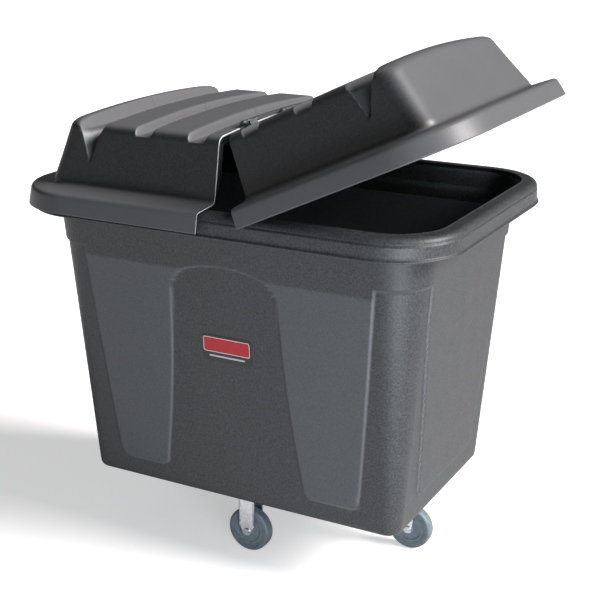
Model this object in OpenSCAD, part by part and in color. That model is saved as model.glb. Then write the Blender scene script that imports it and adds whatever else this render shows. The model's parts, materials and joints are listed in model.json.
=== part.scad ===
// Wheeled moulded tub truck with a two piece domed lid, one half of it hinged.
// Millimetres. X runs along the tub, Y across it, Z up. The long side with the label faces -Y.
// The origin is the centre of the tub's flat underside, and the wheels reach below it.

/* [Tub] */
// length over the rim
rim_l = 1110; // [800:5:1500]
// width over the rim
rim_w = 795; // [600:5:1000]
// plan radius of the rim's outer corners
rim_r = 168; // [145:1:240]
// height of the tapered body, underside to the rim's lower edge
body_h = 700; // [500:5:900]
// how much each side leans out over that height
draft = 59.5; // [30:0.5:70]
// distance from the rim's outer edge in to the body wall
rim_in = 68; // [58:1:90]
// height of the rim
rim_h = 54; // [44:1:70]
// wall thickness of the tub
tub_wall = 6; // [4:0.5:9]
// how far the moulded panels stand out
panel_up = 4.5; // [2:0.5:8]
// height of the upper band's lower edge, as a share of the body height
band_at = 0.882; // [0.8:0.005:0.93]

/* [Lid] */
// how far the lid's ends pass the rim
lid_over_l = 10; // [9:0.5:25]
// how far the lid's long sides pass the rim
lid_over_w = 20; // [9:0.5:30]
// height of the skirt that hangs outside the rim
skirt_h = 46; // [30:1:47]
// width of the flat shelf between the skirt and the dome
shelf_w = 85; // [70:1:110]
// height of the dome's roof edge above the shelf
dome_h = 152; // [110:1:220]
// how far the roof rises in the middle
crown = 12; // [4:0.5:20]
// lean of the dome's long sides
side_lean = 10; // [5:0.5:16]
// lean of the dome's ends
end_lean = 16; // [8:0.5:22]
// how far the outer hump stands above the roof
hump_up = 5; // [2:0.5:10]
// depth of the channels across the roof
channel_d = 18; // [8:1:24]
// wall thickness of the lid
lid_wall = 5; // [3:0.5:8]
// opening angle of the hinged half as drawn
lid_open = 25; // [0:1:170]

/* [Casters] */
// wheel diameter
wheel_d = 114; // [90:1:135]
// tread width
tread_w = 30; // [24:1:38]
// underside of the tub to the floor
ground = 164; // [140:1:190]
// how far in from the base's long sides the fixed casters sit
fixed_in = 68; // [62:1:90]
// how far in from the base's ends the swivel pins sit
swivel_in = 105.5; // [75:0.5:140]
// how far a swivel wheel trails its pin
trail = 30; // [24:1:38]
// caster plate length
plate_l = 105; // [98:1:120]
// caster plate width
plate_w = 86; // [80:1:100]

/* [Label] */
// label width
label_w = 133; // [80:1:200]
// label height
label_h = 67; // [40:1:100]

/* [Hidden] */
$fn = 96;
small_fn = 48;
eps = 0.01;
mid_h = 0.58 * body_h;
band_z = band_at * body_h;
arch_z = band_z - 1.4;
arch_corner = 45;
arch_side = arch_z - arch_corner + 3;
lean = atan(draft / body_h);
body_in = rim_in + draft;
base_l = rim_l - 2 * body_in;
base_w = rim_w - 2 * body_in;
base_r = max(rim_r - body_in, 12);
rim_top = body_h + rim_h;
ridge_r = 2.5;
foot_h = 12;
foot_in = 9;
rim_lip = 45;
rim_bend = 16;
bead_h = 6;
bead_in = 4;

lid_gap = 0.4;
seam = 8;
lid_hl = rim_l / 2 + lid_over_l;
lid_hw = rim_w / 2 + lid_over_w;
lid_r = rim_r + lid_over_l;
shelf_z = rim_top + lid_gap + lid_wall;
skirt_z = shelf_z - skirt_h;
skirt_round = 12;
dome_hl = lid_hl - shelf_w;
dome_hw = lid_hw - shelf_w;
dome_r = 82;
dome_low = 20;
roof_z = shelf_z + dome_h + crown;
crown_half = dome_hw - dome_h * tan(side_lean);
crown_r = (crown_half * crown_half + crown * crown) / (2 * crown);
shoulder = 22;
channel_w = 40;
channel_slope = 5;
channel_at = [0.118, 0.373];
gully_at = 0.633;
gully_w = 60;
gully_tip = 0.4;
gully_open = 40;
gully_tilt = 42;
web_t = 5;
web_in = 28;
web_skirt = 9;

leaf_t = 2.5;
leaf_w = 70;
leaf_h = 24;
knuckle_r = 5.2;
pin_r = 2.5;
run_gap = 0.05;
hinge_up = 6;
hinge_z = roof_z + hinge_up;
leaf_low = hinge_z - 33;
leaf_top = leaf_low + leaf_h - 2;
knuckle_in = 32;
knuckle_out = 18;
knuckle_gap = 0.5;
hinge_y = [-0.6, 0, 0.6];
hinge_reach = crown_half;
leaf_bolt_z = leaf_low + 10;
leaf_bolt_dy = 22;
leaf_bolt_r = 2.5;

pad_h = 1.5;
pad_over = 3;
fixed_y = base_w / 2 - fixed_in;
swivel_x = base_l / 2 - swivel_in;
axle_z = wheel_d / 2 - ground + pad_h;
axle_r = 6;
leg_t = 2.5;
leg_w = 43;
leg_tip = 11;
fork_in = 20.5;
hub_w = 40;
hub_r = 0.66 * wheel_d / 2;
boss_r = 13;
bush_r = 8;
plate_t = 3;
plate_dx = 80;
plate_dy = 60;
bolt_r = 4;
hole_r = 4.5;
washer_r = 8.5;
washer_t = 1.6;
nut_r = 7.5;
nut_h = 6.5;
kingpin_r = 6;
race_r = 26;
race_h = 6;
crown_t = 3.5;
turn_gap = 0.5;
left_turn = 90;
screw_head_h = 3;
screw_in = 32;
screw_end = 127.5;

// ---------- shared shapes ----------

// A tapered block with round upright corners; every side moves out by grow over its height.
module tapered(len, wid, r, grow, h) {
  for (s = [0, 1]) rotate([0, 0, 90 * s]) {
    a = (s == 0 ? len : wid) / 2;
    b = (s == 0 ? wid : len) / 2 - r;
    rotate([90, 0, 0]) translate([0, 0, -b]) linear_extrude(2 * b)
      polygon([[-a, 0], [a, 0], [a + grow, h], [-a - grow, h]]);
  }
  for (x = [-1, 1], y = [-1, 1]) translate([x * (len / 2 - r), y * (wid / 2 - r), 0])
    cylinder(h = h, r1 = r, r2 = r + grow);
}

// The tub body's solid taper, pushed out by off on every side, from height z0 to z1.
module body_block(off, z0, z1) {
  g0 = draft * z0 / body_h;
  translate([0, 0, z0])
    tapered(base_l + 2 * (off + g0), base_w + 2 * (off + g0), base_r + off + g0,
      draft * (z1 - z0) / body_h, z1 - z0);
}

// Sweeps a profile, drawn as distance in from the edge and height, round a rounded rectangle.
module ring(len, wid, r) {
  for (s = [0, 1], m = [0, 180]) rotate([0, 0, 90 * s + m]) {
    a = (s == 0 ? len : wid) / 2;
    b = (s == 0 ? wid : len) / 2 - r;
    translate([a, b, 0]) rotate([90, 0, 0]) linear_extrude(2 * b) mirror([1, 0]) children();
  }
  for (x = [0, 1], y = [0, 1]) mirror([x, 0, 0]) mirror([0, y, 0])
    translate([len / 2 - r, wid / 2 - r, 0]) rotate_extrude(angle = 90)
      translate([r, 0]) mirror([1, 0]) children();
}

module hex(r, h) {
  cylinder(h = h, r = r, $fn = 6);
}

// ---------- tub ----------

module rim_profile() {
  difference() {
    union() {
      translate([bead_in, body_h]) square([rim_bend, rim_h - rim_bend]);
      translate([bead_in + rim_bend, rim_top - rim_bend]) circle(rim_bend);
      translate([bead_in + rim_bend, body_h]) square([rim_lip - bead_in - rim_bend, rim_h]);
    }
    translate([bead_in + tub_wall, body_h - 1]) square([rim_bend - tub_wall, rim_h - rim_bend + 1]);
    translate([bead_in + rim_bend, rim_top - rim_bend]) circle(rim_bend - tub_wall);
    translate([bead_in + rim_bend, body_h - 1]) square([rim_lip, rim_h - tub_wall + 1]);
  }
  translate([bead_h / 2, body_h + bead_h / 2]) circle(bead_h / 2);
  translate([bead_h / 2, body_h]) square([bead_in + tub_wall - bead_h / 2, bead_h]);
  translate([rim_lip - ridge_r, rim_top - ridge_r]) circle(ridge_r);
  polygon([[rim_lip - tub_wall, rim_top - tub_wall], [rim_lip, rim_top - ridge_r],
    [rim_in + tub_wall, body_h - tub_wall], [rim_in - eps, body_h - tub_wall]]);
}

// The raised legs of the long sides, as seen from the front: band down to the leg's foot.
module leg_panels() {
  top = band_z + 30;
  foot = 0.08 * body_h;
  in_top = 0.171 * base_l;
  in_bot = 0.222 * base_l;
  out_top = 0.447 * base_l;
  out_bot = 0.392 * base_l;
  corner = 22;
  for (m = [0, 1]) mirror([m, 0]) {
    polygon([[in_top, arch_side], [in_top - 4, top], [out_top + 2, top],
      [out_bot + 2, foot + corner], [in_bot, foot + corner]]);
    polygon([[in_bot + corner, foot], [out_bot - corner, foot],
      [out_bot + 2, foot + corner], [in_bot, foot + corner]]);
    for (x = [in_bot + corner, out_bot + 1 - corner]) translate([x, foot + corner]) circle(corner);
  }
}

// The band between the legs, arched over the sunk middle field.
module arch_panel() {
  half = 0.171 * base_l;
  rise = 16;
  arc_r = (half * half + rise * rise) / (2 * rise);
  difference() {
    translate([-half - 8, arch_z - 70]) square([2 * half + 16, 105]);
    intersection() {
      translate([0, arch_z - arc_r]) circle(arc_r);
      translate([-half, 0]) square([2 * half, body_h]);
      union() {
        translate([-half, 0]) square([2 * half, arch_side]);
        translate([40 - half, 0]) square([2 * half - 80, body_h]);
        for (m = [-1, 1]) translate([m * (half - arch_corner), arch_side]) circle(arch_corner);
      }
    }
  }
}

module end_panel() {
  top = band_z + 30;
  polygon([[-0.425 * base_w, top], [0.425 * base_w, top], [0.32 * base_w, 0.1 * body_h],
    [-0.32 * base_w, 0.1 * body_h]]);
}

module caster_spots() {
  for (y = [-1, 1]) translate([0, y * fixed_y, 0]) children();
  for (x = [-1, 1]) translate([x * swivel_x, 0, 0]) children();
}

module plate_holes() {
  caster_spots() for (x = [-1, 1], y = [-1, 1])
    translate([x * plate_dx / 2, y * plate_dy / 2, 0]) children();
}

module screw_spots() {
  for (y = [-1, 1]) {
    translate([-(rim_l / 2 - screw_in), y * (rim_w / 2 - screw_end), 0]) children();
    for (x = [0.1, 0.4]) translate([-x * base_l, y * (rim_w / 2 - screw_in), 0]) children();
  }
}

module tub() color("#2b2e31") difference() {
  union() {
    difference() {
      union() {
        tapered(base_l - 2 * foot_in, base_w - 2 * foot_in, base_r - foot_in / 2,
          foot_in + draft * foot_h / body_h, foot_h);
        body_block(0, foot_h, body_h);
        intersection() {
          body_block(panel_up, foot_h, body_h);
          union() {
            translate([-rim_l, -rim_w, band_z]) cube([2 * rim_l, 2 * rim_w, body_h]);
            rotate([90, 0, 0]) translate([0, 0, -rim_w]) linear_extrude(2 * rim_w) {
              leg_panels();
              arch_panel();
            }
            rotate([90, 0, 90]) translate([0, 0, -rim_l]) linear_extrude(2 * rim_l) end_panel();
          }
        }
      }
      body_block(-tub_wall, tub_wall, body_h + 20);
    }
    ring(rim_l, rim_w, rim_r) rim_profile();
    caster_spots() translate([0, 0, -pad_h]) linear_extrude(pad_h + 1) plate_outline(pad_over);
  }
  plate_holes() translate([0, 0, -pad_h - 1])
    cylinder(h = tub_wall + pad_h + 2, r = hole_r, $fn = small_fn);
  screw_spots() translate([0, 0, rim_top - tub_wall - 1])
    cylinder(h = tub_wall + 2, r = 2.75, $fn = small_fn);
}

module label() color("#8e1f24") translate([0, -base_w / 2 - draft * mid_h / body_h, mid_h])
  rotate([90 + lean, 0, 0]) linear_extrude(1.2) {
    square([label_w - 12, label_h], center = true);
    square([label_w, label_h - 12], center = true);
    for (x = [-1, 1], y = [-1, 1])
      translate([x * (label_w / 2 - 6), y * (label_h / 2 - 6)]) circle(6);
  }

// ---------- lid ----------

// Points of an arc, as steps of a smooth curve.
function arc(x, z, r, a0, a1, n) = [for (i = [0:n]) let (a = a0 + (a1 - a0) * i / n)
  [x + r * cos(a), z + r * sin(a)]];

// Right half of the dome's roof line, from the leaning side to the middle, crown at height zc.
function roof_line(t, zc) = let (
  d = side_lean, hw = dome_hw - t / cos(d), rs = max(shoulder - t, 4), o = zc - crown_r,
  rr = crown_r - rs, y0 = hw - rs * cos(d), z0 = shelf_z - rs * sin(d) - o,
  b = z0 * cos(d) - y0 * sin(d), s = -b + sqrt(b * b - (y0 * y0 + z0 * z0 - rr * rr)),
  cy = y0 - s * sin(d), cz = shelf_z - rs * sin(d) + s * cos(d), a1 = atan2(cz - o, cy))
  concat(arc(cy, cz, rs, d, a1, 5), arc(0, o, crown_r, a1 + (90 - a1) / 5, 90, 4));

function mirrored(pts) = [for (i = [len(pts) - 2:-1:0]) [-pts[i][0], pts[i][1]]];

// Cross section of the dome inside by t, with its crown at height zc.
module dome_section(t, zc) {
  hw = dome_hw - t / cos(side_lean) + dome_low * tan(side_lean);
  line = roof_line(t, zc);
  polygon(concat([[-hw, shelf_z - dome_low], [hw, shelf_z - dome_low]], line, mirrored(line)));
}

// Everything above the plain roof, to bring it down below the hump.
module above_roof(t) {
  line = roof_line(t, roof_z - t);
  polygon(concat([[lid_hw, line[0][1]]], line, mirrored(line), [[-lid_hw, line[0][1]],
    [-lid_hw, 2 * roof_z], [lid_hw, 2 * roof_z]]));
}

// Side view of the dome's end: leaning, and round where it meets the roof.
module dome_side(t) {
  e = end_lean;
  zc = roof_z + hump_up - t;
  hl = dome_hl - t / cos(e);
  rs = max(shoulder + 6 - t, 4);
  cz = zc - rs;
  cx = hl - (cz - shelf_z) * tan(e) - rs / cos(e);
  polygon(concat([[-1, shelf_z - dome_low], [hl + dome_low * tan(e), shelf_z - dome_low]],
    arc(cx, cz, rs, e, 90, 5), [[-1, zc]]));
}

// The smooth dome of one half, inside by t.
module dome_block(t) difference() {
  intersection() {
    rotate([90, 0, 90]) linear_extrude(lid_hl) dome_section(t, roof_z + hump_up - t);
    rotate([90, 0, 0]) translate([0, 0, -lid_hw]) linear_extrude(2 * lid_hw) dome_side(t);
    translate([0, 0, shelf_z - dome_low - 5])
      tapered(2 * (dome_hl - t + 17), 2 * (dome_hw - t + 12), dome_r + 22 - t,
        -0.18 * (dome_h + 95), dome_h + 95);
  }
  translate([-5, 0, 0]) rotate([90, 0, 90]) linear_extrude(gully_at * lid_hl + 5) above_roof(t);
}

// The channels that cross the roof, wider by t.
module channels(t) {
  rotate([90, 0, 0]) translate([0, 0, -lid_hw]) linear_extrude(2 * lid_hw)
    for (c = [[channel_at[0], channel_w], [channel_at[1], channel_w], [gully_at, gully_w - 10]]) {
      x = c[0] * lid_hl;
      w = c[1] / 2 + t;
      z = shelf_z + dome_h - channel_d - t;
      k = channel_slope / channel_d;
      polygon([[x - w, z], [x + w, z], [x + w + k * 60, z + 60], [x - w - k * 60, z + 60]]);
    }
}

// The pointed gully that falls from the third channel down each long side.
module gullies(t) {
  rise = (1 - gully_tip) * dome_h;
  tip_y = dome_hw - gully_tip * dome_h * tan(side_lean);
  w = gully_open + t;
  h = rise * cos(gully_tilt) + t;
  for (m = [0, 1]) mirror([0, m, 0])
    translate([gully_at * lid_hl, -tip_y, shelf_z + gully_tip * dome_h - 1.2 * t])
      rotate([gully_tilt - 90, 0, 0]) translate([0, 0, -2 * rise]) linear_extrude(4 * rise)
        polygon([[0, 0], [w, -h], [w, -4 * rise], [-w, -4 * rise], [-w, -h]]);
}

module dome(t) difference() {
  dome_block(t);
  channels(t);
  gullies(t);
}

// The skirt and shelf, inside by t at the sides and down by u at the top.
module skirt_block(t, u, low) {
  l = 2 * (lid_hl - t);
  w = 2 * (lid_hw - t);
  r = lid_r - t;
  f = max(skirt_round - t, 3);
  z = shelf_z - u;
  a = 0.3 * f;
  translate([0, 0, low]) tapered(l, w, r, 0, z - f - low);
  translate([0, 0, z - f]) tapered(l, w, r, -a, f - a);
  translate([0, 0, z - a]) tapered(l - 2 * a, w - 2 * a, r - a, a - f, a);
}

// One lid half, closed, reaching from the seam towards +X.
module lid_half() difference() {
  intersection() {
    union() {
      skirt_block(0, 0, skirt_z);
      dome(0);
    }
    translate([seam, -2 * lid_hw, 0]) cube([2 * lid_hl, 4 * lid_hw, 2 * roof_z]);
  }
  intersection() {
    union() {
      skirt_block(lid_wall, lid_wall, skirt_z - 1);
      dome(lid_wall);
    }
    translate([seam + web_t, -2 * lid_hw, 0]) cube([2 * lid_hl, 4 * lid_hw, 2 * roof_z]);
  }
  intersection() {
    union() {
      skirt_block(web_skirt, lid_wall, skirt_z - 1);
      dome_block(web_in);
    }
    translate([seam - 1, -2 * lid_hw, 0]) cube([web_t + 2, 4 * lid_hw, 2 * roof_z]);
  }
  leaf_bolt_spots() translate([0, 0, seam - 1]) cylinder(h = web_t + 2, r = 2.75, $fn = small_fn);
}

// Turns a closed piece of the hinged half to the opening angle it is drawn at.
module opened() {
  translate([0, 0, hinge_z]) rotate([0, -lid_open, 0]) translate([0, 0, -hinge_z]) children();
}

module fixed_lid() color("#2f3235") difference() {
  mirror([1, 0, 0]) lid_half();
  screw_spots() translate([0, 0, rim_top - 1]) cylinder(h = 20, r = 2.5, $fn = small_fn);
}

module hinged_lid() color("#2f3235") opened() lid_half();

module lid_screws() color("#b9bdc1") screw_spots() {
  translate([0, 0, rim_top - tub_wall - screw_head_h]) cylinder(h = screw_head_h, r = 5, $fn = small_fn);
  translate([0, 0, rim_top - tub_wall - 1])
    cylinder(h = tub_wall + lid_gap + lid_wall + 0.5, r = 2.45, $fn = small_fn);
}

// ---------- hinge ----------

// Places a child at every leaf bolt; the child's +Z points from the seam into the +X half.
module leaf_bolt_spots() {
  for (h = hinge_y, s = [-1, 1])
    translate([0, h * hinge_reach + s * leaf_bolt_dy, leaf_bolt_z]) rotate([0, 90, 0]) children();
}

// One leaf on the +X side; own holds the centre and length of each of its knuckles.
module leaf(own) difference() {
  union() {
    translate([seam - leaf_t, -leaf_w / 2, leaf_low]) cube([leaf_t, leaf_w, leaf_h - 2]);
    for (k = own) translate([0, k[0] - k[1] / 2, 0]) {
      translate([seam - leaf_t, 0, leaf_top - 1]) cube([leaf_t, k[1], hinge_z - leaf_top + 1]);
      translate([0, 0, hinge_z - 3.5]) cube([seam, k[1], 3.5]);
      translate([0, 0, hinge_z]) rotate([-90, 0, 0]) cylinder(h = k[1], r = knuckle_r);
    }
  }
  translate([0, -leaf_w / 2 - 1, hinge_z]) rotate([-90, 0, 0])
    cylinder(h = leaf_w + 2, r = pin_r + run_gap, $fn = small_fn);
  for (s = [-1, 1]) translate([0, s * leaf_bolt_dy, leaf_bolt_z]) rotate([0, 90, 0])
    cylinder(h = 2 * seam, r = 2.75, $fn = small_fn);
}

module fixed_leaves() color("#2c2e30") for (h = hinge_y) translate([0, h * hinge_reach, 0])
  mirror([1, 0, 0]) leaf([for (s = [-1, 1])
    [s * (knuckle_in / 2 + knuckle_gap + knuckle_out / 2), knuckle_out]]);

module moving_leaves() color("#2c2e30") opened() for (h = hinge_y)
  translate([0, h * hinge_reach, 0]) leaf([[0, knuckle_in]]);

module hinge_pins() color("#2c2e30") for (h = hinge_y)
  translate([0, h * hinge_reach - leaf_w / 2 - 1, hinge_z]) rotate([-90, 0, 0]) {
    cylinder(h = leaf_w + 2, r = pin_r, $fn = small_fn);
    translate([0, 0, -1.5]) cylinder(h = 1.5, r = pin_r + 1.5, $fn = small_fn);
  }

module leaf_bolt() {
  translate([0, 0, seam - leaf_t - 2.6]) cylinder(h = 2.6, r = 4.6, $fn = small_fn);
  translate([0, 0, seam - leaf_t - 1]) cylinder(h = leaf_t + web_t + 7, r = leaf_bolt_r, $fn = small_fn);
}

module leaf_nut() translate([0, 0, seam + web_t]) difference() {
  union() {
    cylinder(h = 1, r = 5, $fn = small_fn);
    translate([0, 0, 1]) hex(4.6, 4);
  }
  translate([0, 0, -1]) cylinder(h = 8, r = leaf_bolt_r + run_gap, $fn = small_fn);
}

module fixed_leaf_bolts() color("#2c2e30") mirror([1, 0, 0]) leaf_bolt_spots() leaf_bolt();
module fixed_leaf_nuts() color("#2c2e30") mirror([1, 0, 0]) leaf_bolt_spots() leaf_nut();
module moving_leaf_bolts() color("#2c2e30") opened() leaf_bolt_spots() leaf_bolt();
module moving_leaf_nuts() color("#2c2e30") opened() leaf_bolt_spots() leaf_nut();

// ---------- casters ----------

// A bolt from inside the tub, drawn about its hole.
module caster_bolts() color("#b9bdc1") plate_holes() {
  translate([0, 0, tub_wall + washer_t]) cylinder(h = 4, r = 8, $fn = small_fn);
  translate([0, 0, -pad_h - plate_t - nut_h - 3])
    cylinder(h = pad_h + plate_t + nut_h + tub_wall + washer_t + 3.5, r = bolt_r, $fn = small_fn);
}

module caster_washers() color("#c3c7ca") plate_holes() translate([0, 0, tub_wall]) difference() {
  cylinder(h = washer_t, r = washer_r, $fn = small_fn);
  translate([0, 0, -1]) cylinder(h = washer_t + 2, r = bolt_r + run_gap, $fn = small_fn);
}

module caster_nuts() color("#a7abae") plate_holes()
translate([0, 0, -pad_h - plate_t - nut_h]) difference() {
  hex(nut_r, nut_h);
  translate([0, 0, -1]) cylinder(h = nut_h + 2, r = bolt_r + run_gap, $fn = small_fn);
}

// A caster plate's outline, larger by more on every side.
module plate_outline(more) {
  l = plate_l + 2 * more;
  w = plate_w + 2 * more;
  square([l - 16, w], center = true);
  square([l, w - 16], center = true);
  for (x = [-1, 1], y = [-1, 1]) translate([x * (l / 2 - 8), y * (w / 2 - 8)])
    circle(8, $fn = small_fn);
}

module top_plate() difference() {
  translate([0, 0, -plate_t]) linear_extrude(plate_t) plate_outline(0);
  for (x = [-1, 1], y = [-1, 1]) translate([x * plate_dx / 2, y * plate_dy / 2, -plate_t - 1])
    cylinder(h = plate_t + 2, r = hole_r, $fn = small_fn);
}

// Both legs of a fork from a side view drawn in X and Z, with the axle at x.
module legs(x) difference() {
  for (m = [-1, 1]) translate([0, m * (fork_in + leg_t / 2) + leg_t / 2, 0])
    rotate([90, 0, 0]) linear_extrude(leg_t) children();
  translate([x, -fork_in - 2 * leg_t, axle_z]) rotate([-90, 0, 0])
    cylinder(h = 2 * fork_in + 4 * leg_t, r = axle_r + 0.1, $fn = small_fn);
}

module straight_leg() {
  knee = axle_z + 0.42 * leg_w;
  polygon([[-leg_w / 2, -1], [leg_w / 2, -1], [leg_w / 2, knee], [0.84 * leg_tip, axle_z - 0.54 * leg_tip],
    [-0.84 * leg_tip, axle_z - 0.54 * leg_tip], [-leg_w / 2, knee]]);
  translate([0, axle_z]) circle(leg_tip, $fn = small_fn);
}

module swept_leg() {
  z = -plate_t - race_h - turn_gap - 1;
  polygon([[-22, z], [26, z], [trail + 15, axle_z + 26], [trail + 0.9 * leg_tip, axle_z - 0.43 * leg_tip],
    [trail - 0.9 * leg_tip, axle_z - 0.43 * leg_tip], [trail - 22, axle_z + 22], [-22, z - 30]]);
  translate([trail, axle_z]) circle(leg_tip, $fn = small_fn);
}

module fixed_fork() color("#cfd4d7") {
  top_plate();
  difference() {
    legs(0) straight_leg();
    translate([-leg_w, -fork_in - leg_t - 1, -1.5]) cube([2 * leg_w, 2 * (fork_in + leg_t + 1), 2]);
  }
  // pressed ribs down both edges of each leg
  for (m = [-1, 1], e = [-1, 1]) translate([e * (leg_w / 2 - 2), m * (fork_in + leg_t), axle_z + 0.5 * leg_w])
    cylinder(h = -axle_z - 0.5 * leg_w - plate_t + 0.5, r = 1.8, $fn = 24);
}

module turning_fork() color("#cfd4d7") {
  z = -plate_t - race_h - turn_gap - crown_t;
  difference() {
    union() {
      translate([0, 0, z]) cylinder(h = crown_t, r = 30);
      translate([-22, -fork_in - leg_t, z]) cube([48, 2 * (fork_in + leg_t), crown_t]);
    }
    translate([0, 0, z - 1]) cylinder(h = crown_t + 2, r = kingpin_r + run_gap, $fn = small_fn);
  }
  legs(trail) swept_leg();
}

module race() color("#b4b8bb") translate([0, 0, -plate_t - race_h]) difference() {
  cylinder(h = race_h, r1 = race_r - 3, r2 = race_r);
  translate([0, 0, -1]) cylinder(h = race_h + 2, r = kingpin_r + run_gap, $fn = small_fn);
}

module kingpin() color("#9da2a6") {
  z = -plate_t - race_h - turn_gap - crown_t - turn_gap;
  translate([0, 0, z - 4]) cylinder(h = 4, r = 10, $fn = small_fn);
  translate([0, 0, z - 1]) cylinder(h = -z + 1 - plate_t, r = kingpin_r, $fn = small_fn);
}

// Pieces of one wheel, drawn about the wheel's centre with its axis along Y.
module on_axle() translate([0, 0, axle_z]) rotate([90, 0, 0]) children();

module axle() color("#b9bdc1") on_axle() {
  half = fork_in + leg_t;
  translate([0, 0, -half - 8]) cylinder(h = 2 * half + 9, r = axle_r, $fn = small_fn);
  translate([0, 0, half]) cylinder(h = 4, r = 8.5, $fn = small_fn);
}

module axle_nut() color("#a7abae") on_axle() translate([0, 0, -fork_in - leg_t - 7]) difference() {
  hex(9.5, 7);
  translate([0, 0, -1]) cylinder(h = 9, r = axle_r + run_gap, $fn = small_fn);
}

module bush() color("#d8d4c4") on_axle() difference() {
  cylinder(h = hub_w, r = bush_r, center = true, $fn = small_fn);
  cylinder(h = hub_w + 2, r = axle_r + run_gap, center = true, $fn = small_fn);
}

module hub() color("#3c474c") on_axle() difference() {
  union() {
    cylinder(h = tread_w - 2, r = hub_r, center = true);
    cylinder(h = hub_w, r = boss_r, center = true);
    cylinder(h = tread_w + 2, r = boss_r + 5, center = true);
  }
  cylinder(h = hub_w + 2, r = bush_r + eps, center = true, $fn = small_fn);
  for (m = [0, 1]) mirror([0, 0, m]) translate([0, 0, tread_w / 2 - 4]) difference() {
    cylinder(h = 10, r = hub_r - 5);
    translate([0, 0, -1]) cylinder(h = 12, r = boss_r + 5);
  }
}

module tyre() color("#39444a") on_axle() rotate_extrude() {
  r = wheel_d / 2;
  f = 7;
  translate([hub_r + eps, -tread_w / 2 + 1]) square([r - f - hub_r, tread_w - 2]);
  translate([hub_r + 6, -tread_w / 2]) square([r - f - hub_r - 6, tread_w]);
  translate([hub_r + 6, -tread_w / 2 + f]) square([r - hub_r - 6, tread_w - 2 * f]);
  for (s = [-1, 1]) translate([r - f, s * (tread_w / 2 - f)]) circle(f, $fn = small_fn);
}

module front_spot() translate([0, -fixed_y, -pad_h]) children();
module back_spot() translate([0, fixed_y, -pad_h]) children();
module left_spot() translate([-swivel_x, 0, -pad_h]) rotate([0, 0, left_turn]) children();
module right_spot() translate([swivel_x, 0, -pad_h]) children();
module trailing() translate([trail, 0, 0]) children();

module front_fork() front_spot() fixed_fork();
module front_axle() front_spot() axle();
module front_axle_nut() front_spot() axle_nut();
module front_bush() front_spot() bush();
module front_hub() front_spot() hub();
module front_tyre() front_spot() tyre();
module back_fork() back_spot() mirror([0, 1, 0]) fixed_fork();
module back_axle() back_spot() mirror([0, 1, 0]) axle();
module back_axle_nut() back_spot() mirror([0, 1, 0]) axle_nut();
module back_bush() back_spot() bush();
module back_hub() back_spot() hub();
module back_tyre() back_spot() tyre();
module left_plate() color("#cfd4d7") translate([-swivel_x, 0, -pad_h]) top_plate();
module left_race() left_spot() race();
module left_kingpin() left_spot() kingpin();
module left_fork() left_spot() turning_fork();
module left_axle() left_spot() trailing() axle();
module left_axle_nut() left_spot() trailing() axle_nut();
module left_bush() left_spot() trailing() bush();
module left_hub() left_spot() trailing() hub();
module left_tyre() left_spot() trailing() tyre();
module right_plate() color("#cfd4d7") right_spot() top_plate();
module right_race() right_spot() race();
module right_kingpin() right_spot() kingpin();
module right_fork() right_spot() turning_fork();
module right_axle() right_spot() trailing() axle();
module right_axle_nut() right_spot() trailing() axle_nut();
module right_bush() right_spot() trailing() bush();
module right_hub() right_spot() trailing() hub();
module right_tyre() right_spot() trailing() tyre();

tub();
label();
fixed_lid();
hinged_lid();
lid_screws();
fixed_leaves();
fixed_leaf_bolts();
fixed_leaf_nuts();
hinge_pins();
moving_leaves();
moving_leaf_bolts();
moving_leaf_nuts();
caster_bolts();
caster_washers();
caster_nuts();
front_fork();
front_axle();
front_axle_nut();
front_bush();
front_hub();
front_tyre();
back_fork();
back_axle();
back_axle_nut();
back_bush();
back_hub();
back_tyre();
left_plate();
left_race();
left_kingpin();
left_fork();
left_axle();
left_axle_nut();
left_bush();
left_hub();
left_tyre();
right_plate();
right_race();
right_kingpin();
right_fork();
right_axle();
right_axle_nut();
right_bush();
right_hub();
right_tyre();
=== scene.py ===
# %% [markdown]
# # A wheeled tub truck with a domed lid
# The tub and its lid are rotationally moulded polyethylene: one skin of even thickness, with
# soft corners everywhere and a fine grain on the outside. Under it are four small casters of
# pressed zinc-plated steel with grey rubber wheels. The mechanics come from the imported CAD
# model. This lesson gives the moulded skins their soft shapes and every part its finish.
# %% load the frame
import json
import math

import bpy
import numpy as np
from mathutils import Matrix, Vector


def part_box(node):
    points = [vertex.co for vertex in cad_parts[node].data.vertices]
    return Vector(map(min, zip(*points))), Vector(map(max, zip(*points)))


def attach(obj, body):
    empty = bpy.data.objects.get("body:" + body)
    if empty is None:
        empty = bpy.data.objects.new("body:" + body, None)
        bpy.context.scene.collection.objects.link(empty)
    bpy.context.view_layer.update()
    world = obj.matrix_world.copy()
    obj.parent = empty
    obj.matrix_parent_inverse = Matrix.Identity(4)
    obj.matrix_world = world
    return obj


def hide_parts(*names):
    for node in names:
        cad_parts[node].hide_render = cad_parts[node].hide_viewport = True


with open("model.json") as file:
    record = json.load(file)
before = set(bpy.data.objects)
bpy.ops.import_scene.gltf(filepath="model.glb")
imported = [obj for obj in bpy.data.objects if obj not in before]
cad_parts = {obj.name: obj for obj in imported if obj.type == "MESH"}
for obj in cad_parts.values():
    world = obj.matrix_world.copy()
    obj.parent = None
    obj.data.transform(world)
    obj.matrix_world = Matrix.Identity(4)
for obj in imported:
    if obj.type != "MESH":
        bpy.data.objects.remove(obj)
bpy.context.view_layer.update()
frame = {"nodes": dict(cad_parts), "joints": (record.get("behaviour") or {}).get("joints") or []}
nodes = frame["nodes"]


def mm_box(node):
    """A CAD node's lowest and highest corner, in millimetres."""
    lo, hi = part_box(node)
    return np.array(lo) * 1000, np.array(hi) * 1000


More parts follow.
